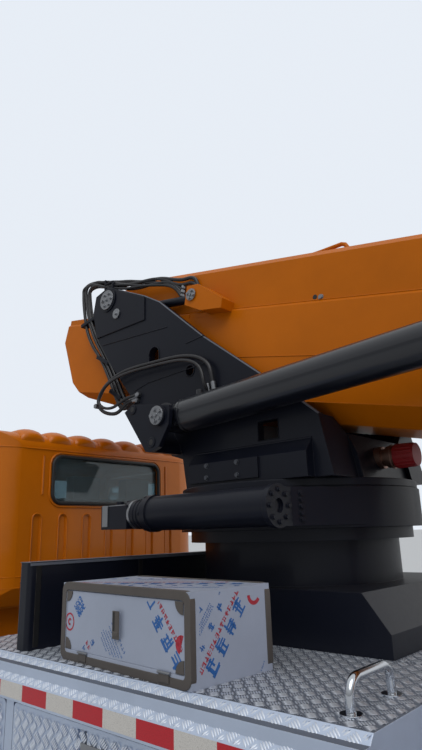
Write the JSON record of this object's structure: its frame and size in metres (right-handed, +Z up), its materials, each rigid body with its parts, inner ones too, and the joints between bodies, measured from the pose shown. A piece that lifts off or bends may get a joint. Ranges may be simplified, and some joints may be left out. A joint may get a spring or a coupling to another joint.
{
  "type": "truck-mounted cherry picker with telescopic boom",
  "caption": "Two-axle truck with a slewing turret, an orange telescopic boom on twin lift cylinders, outriggers, tread plate decks and a work basket.",
  "frame": {"origin": "on the ground under the centre of the whole vehicle's box", "axes": "+X to the front of the truck, +Y to its left side, +Z up"},
  "size_m": [10.19, 2.4, 3.0524],
  "materials": {
    "orange_paint": "gloss enamel over sprayed primer",
    "charcoal_paint": "semi-gloss enamel",
    "cylinder_paint": "gloss enamel",
    "chassis_black": "satin chassis paint",
    "engine_grey": "as cast, painted grey",
    "tread_plate": "five-bar tread plate, dull mill finish",
    "stainless_sheet": "bright stainless sheet, partly under a patterned film",
    "chrome_rod": "hard chrome",
    "basket_alloy": "natural aluminium tube",
    "window_glass": "tinted glass",
    "cab_trim": "grained dark plastic and cloth",
    "lamp_lens": "clear and red lenses",
    "tyre_rubber": "truck tyre rubber",
    "wheel_steel": "silver painted pressed steel"
  },
  "bodies": {
    "chassis": {"chassis_frame": "chassis_black", "subframe": "chassis_black", "front_axle": "chassis_black", "rear_axle": "chassis_black", "engine_block": "engine_grey", "tanks": "chassis_black", "front_deck": "tread_plate", "rear_deck": "tread_plate", "cross_cabinet": "charcoal_paint", "pedestal": "charcoal_paint", "slew_drive": "charcoal_paint", "cab_shell": "orange_paint", "cab_glass": "window_glass", "cab_interior": "cab_trim", "front_bumper": "charcoal_paint", "lamps": "lamp_lens", "tool_chest": "stainless_sheet", "grab_handle": "chrome_rod"},
    "turret": {"turret": "charcoal_paint"},
    "boom_1": {"boom_1": "orange_paint"},
    "boom_2": {"boom_2": "orange_paint"},
    "boom_3": {"boom_3": "orange_paint"},
    "boom_4": {"boom_4": "orange_paint"},
    "boom_5": {"boom_5": "orange_paint"},
    "boom_6": {"boom_6": "orange_paint"},
    "lift_barrel_left": {"lift_barrel_left": "cylinder_paint"},
    "lift_rod_left": {"lift_rod_left": "chrome_rod"},
    "lift_barrel_right": {"lift_barrel_right": "cylinder_paint"},
    "lift_rod_right": {"lift_rod_right": "chrome_rod"},
    "level_barrel": {"level_barrel": "charcoal_paint"},
    "level_rod": {"level_rod": "chrome_rod"},
    "basket_head": {"basket_head": "charcoal_paint"},
    "basket": {"basket": "basket_alloy"},
    "beam_front_left": {"outrigger_beam_front_left": "orange_paint"},
    "jack_front_left": {"outrigger_jack_front_left": "chrome_rod"},
    "locker_door_front_left": {"locker_door_front_left": "tread_plate"},
    "beam_front_right": {"outrigger_beam_front_right": "orange_paint"},
    "jack_front_right": {"outrigger_jack_front_right": "chrome_rod"},
    "locker_door_front_right": {"locker_door_front_right": "tread_plate"},
    "beam_rear_left": {"outrigger_beam_rear_left": "orange_paint"},
    "jack_rear_left": {"outrigger_jack_rear_left": "chrome_rod"},
    "locker_door_rear_left": {"locker_door_rear_left": "tread_plate"},
    "beam_rear_right": {"outrigger_beam_rear_right": "orange_paint"},
    "jack_rear_right": {"outrigger_jack_rear_right": "chrome_rod"},
    "locker_door_rear_right": {"locker_door_rear_right": "tread_plate"},
    "knuckle_left": {"knuckle_left": "wheel_steel"},
    "wheel_front_left": {"wheel_front_left": "wheel_steel", "tyre_front_left": "tyre_rubber"},
    "wheels_rear_left": {"wheels_rear_left": "wheel_steel", "tyres_rear_left": "tyre_rubber"},
    "cab_door_left": {"cab_door_left": "orange_paint"},
    "knuckle_right": {"knuckle_right": "wheel_steel"},
    "wheel_front_right": {"wheel_front_right": "wheel_steel", "tyre_front_right": "tyre_rubber"},
    "wheels_rear_right": {"wheels_rear_right": "wheel_steel", "tyres_rear_right": "tyre_rubber"},
    "cab_door_right": {"cab_door_right": "orange_paint"},
    "chest_door": {"tool_chest_door": "stainless_sheet"}
  },
  "joints": [
    {"name": "turret_slew", "type": "hinge", "parent": "chassis", "child": "turret", "pos_m": [1.98, 0, 1.7652], "axis": [0, 0, 1], "range_deg": [-120, 120]},
    {"name": "boom_lift", "type": "hinge", "parent": "turret", "child": "boom_1", "pos_m": [2.926, 0, 2.947], "axis": [0, 1, 0], "range_deg": [0, 85]},
    {"name": "boom_extend_2", "type": "slide", "parent": "boom_1", "child": "boom_2", "axis": [-0.9781, 0, -0.2079], "range_m": [0, 5.6]},
    {"name": "boom_extend_3", "type": "slide", "parent": "boom_2", "child": "boom_3", "axis": [-0.9781, 0, -0.2079], "range_m": [0, 5.6]},
    {"name": "boom_extend_4", "type": "slide", "parent": "boom_3", "child": "boom_4", "axis": [-0.9781, 0, -0.2079], "range_m": [0, 5.6]},
    {"name": "boom_extend_5", "type": "slide", "parent": "boom_4", "child": "boom_5", "axis": [-0.9781, 0, -0.2079], "range_m": [0, 5.6]},
    {"name": "boom_extend_6", "type": "slide", "parent": "boom_5", "child": "boom_6", "axis": [-0.9781, 0, -0.2079], "range_m": [0, 5.6]},
    {"name": "lift_barrel_turn_left", "type": "hinge", "parent": "turret", "child": "lift_barrel_left", "pos_m": [2.277, 0.527, 2.122], "axis": [0, 1, 0], "range_deg": [0, 82.11]},
    {"name": "lift_rod_run_left", "type": "slide", "parent": "lift_barrel_left", "child": "lift_rod_left", "axis": [-0.9983, 0, 0.0591], "range_m": [0, 1.411]},
    {"name": "lift_barrel_turn_right", "type": "hinge", "parent": "turret", "child": "lift_barrel_right", "pos_m": [2.277, -0.527, 2.122], "axis": [0, 1, 0], "range_deg": [0, 82.11]},
    {"name": "lift_rod_run_right", "type": "slide", "parent": "lift_barrel_right", "child": "lift_rod_right", "axis": [-0.9983, 0, 0.0591], "range_m": [0, 1.411]},
    {"name": "level_barrel_turn", "type": "hinge", "parent": "turret", "child": "level_barrel", "pos_m": [2.8, 0.368, 2.87], "axis": [0, 1, 0], "range_deg": [0, 91.81]},
    {"name": "level_rod_run", "type": "slide", "parent": "level_barrel", "child": "level_rod", "axis": [-0.9864, 0, -0.1644], "range_m": [0, 0.186]},
    {"name": "basket_level", "type": "hinge", "parent": "boom_6", "child": "basket_head", "pos_m": [-4.05802, 0, 1.22225], "axis": [0, 1, 0], "range_deg": [-85, 0]},
    {"name": "basket_swivel", "type": "hinge", "parent": "basket_head", "child": "basket", "pos_m": [-4.23, 0, 1.22225], "axis": [0, 0, 1], "range_deg": [-45, 45]},
    {"name": "beam_slide_front_left", "type": "slide", "parent": "chassis", "child": "beam_front_left", "axis": [0, 1, 0], "range_m": [0, 1.4]},
    {"name": "jack_slide_front_left", "type": "slide", "parent": "beam_front_left", "child": "jack_front_left", "axis": [0, 0, -1], "range_m": [0, 0.5]},
    {"name": "locker_door_turn_front_left", "type": "hinge", "parent": "chassis", "child": "locker_door_front_left", "pos_m": [2.695, 1.18, 0.5763], "axis": [-1, 0, 0], "range_deg": [0, 95]},
    {"name": "beam_slide_front_right", "type": "slide", "parent": "chassis", "child": "beam_front_right", "axis": [0, -1, 0], "range_m": [0, 1.4]},
    {"name": "jack_slide_front_right", "type": "slide", "parent": "beam_front_right", "child": "jack_front_right", "axis": [0, 0, -1], "range_m": [0, 0.5]},
    {"name": "locker_door_turn_front_right", "type": "hinge", "parent": "chassis", "child": "locker_door_front_right", "pos_m": [2.695, -1.18, 0.5763], "axis": [1, 0, 0], "range_deg": [0, 95]},
    {"name": "beam_slide_rear_left", "type": "slide", "parent": "chassis", "child": "beam_rear_left", "axis": [0, 1, 0], "range_m": [0, 1.4]},
    {"name": "jack_slide_rear_left", "type": "slide", "parent": "beam_rear_left", "child": "jack_rear_left", "axis": [0, 0, -1], "range_m": [0, 0.5]},
    {"name": "locker_door_turn_rear_left", "type": "hinge", "parent": "chassis", "child": "locker_door_rear_left", "pos_m": [1.97, 1.18, 0.5763], "axis": [-1, 0, 0], "range_deg": [0, 95]},
    {"name": "beam_slide_rear_right", "type": "slide", "parent": "chassis", "child": "beam_rear_right", "axis": [0, -1, 0], "range_m": [0, 1.4]},
    {"name": "jack_slide_rear_right", "type": "slide", "parent": "beam_rear_right", "child": "jack_rear_right", "axis": [0, 0, -1], "range_m": [0, 0.5]},
    {"name": "locker_door_turn_rear_right", "type": "hinge", "parent": "chassis", "child": "locker_door_rear_right", "pos_m": [1.97, -1.18, 0.5763], "axis": [1, 0, 0], "range_deg": [0, 95]},
    {"name": "steer_left", "type": "hinge", "parent": "chassis", "child": "knuckle_left", "pos_m": [3.945, 0.64, 0.425], "axis": [0, 0, 1], "range_deg": [-32, 32]},
    {"name": "wheel_turn_front_left", "type": "hinge", "parent": "knuckle_left", "child": "wheel_front_left", "pos_m": [3.945, 0.8, 0.425], "axis": [0, 1, 0], "continuous": true},
    {"name": "wheel_turn_rear_left", "type": "hinge", "parent": "chassis", "child": "wheels_rear_left", "pos_m": [-1.355, 0.865, 0.425], "axis": [0, 1, 0], "continuous": true},
    {"name": "cab_door_turn_left", "type": "hinge", "parent": "chassis", "child": "cab_door_left", "pos_m": [4.827, 0.914, 1.5], "axis": [0, 0, -1], "range_deg": [0, 65]},
    {"name": "steer_right", "type": "hinge", "parent": "chassis", "child": "knuckle_right", "pos_m": [3.945, -0.64, 0.425], "axis": [0, 0, 1], "range_deg": [-32, 32]},
    {"name": "wheel_turn_front_right", "type": "hinge", "parent": "knuckle_right", "child": "wheel_front_right", "pos_m": [3.945, -0.8, 0.425], "axis": [0, 1, 0], "continuous": true},
    {"name": "wheel_turn_rear_right", "type": "hinge", "parent": "chassis", "child": "wheels_rear_right", "pos_m": [-1.355, -0.865, 0.425], "axis": [0, 1, 0], "continuous": true},
    {"name": "cab_door_turn_right", "type": "hinge", "parent": "chassis", "child": "cab_door_right", "pos_m": [4.827, -0.914, 1.5], "axis": [0, 0, 1], "range_deg": [0, 65]},
    {"name": "chest_door_turn", "type": "hinge", "parent": "chassis", "child": "chest_door", "pos_m": [1.95293, 1.1075, 1.2213], "axis": [-0.9976, 0.0698, 0], "range_deg": [0, 90]}
  ],
  "couplings": [
    {"joint": "boom_extend_3", "follows": "boom_extend_2", "ratio": 1},
    {"joint": "boom_extend_4", "follows": "boom_extend_2", "ratio": 1},
    {"joint": "boom_extend_5", "follows": "boom_extend_2", "ratio": 1},
    {"joint": "boom_extend_6", "follows": "boom_extend_2", "ratio": 1},
    {"joint": "lift_barrel_turn_left", "follows": "boom_lift", "ratio": 0.96547},
    {"joint": "lift_rod_run_left", "follows": "boom_lift", "m_per_rad": 0.9507},
    {"joint": "lift_barrel_turn_right", "follows": "boom_lift", "ratio": 0.96547},
    {"joint": "lift_rod_run_right", "follows": "boom_lift", "m_per_rad": 0.9507},
    {"joint": "level_barrel_turn", "follows": "boom_lift", "ratio": 1.0796},
    {"joint": "level_rod_run", "follows": "boom_lift", "m_per_rad": 0.12478},
    {"joint": "basket_level", "follows": "boom_lift", "ratio": -1},
    {"joint": "steer_right", "follows": "steer_left", "ratio": 1}
  ]
}
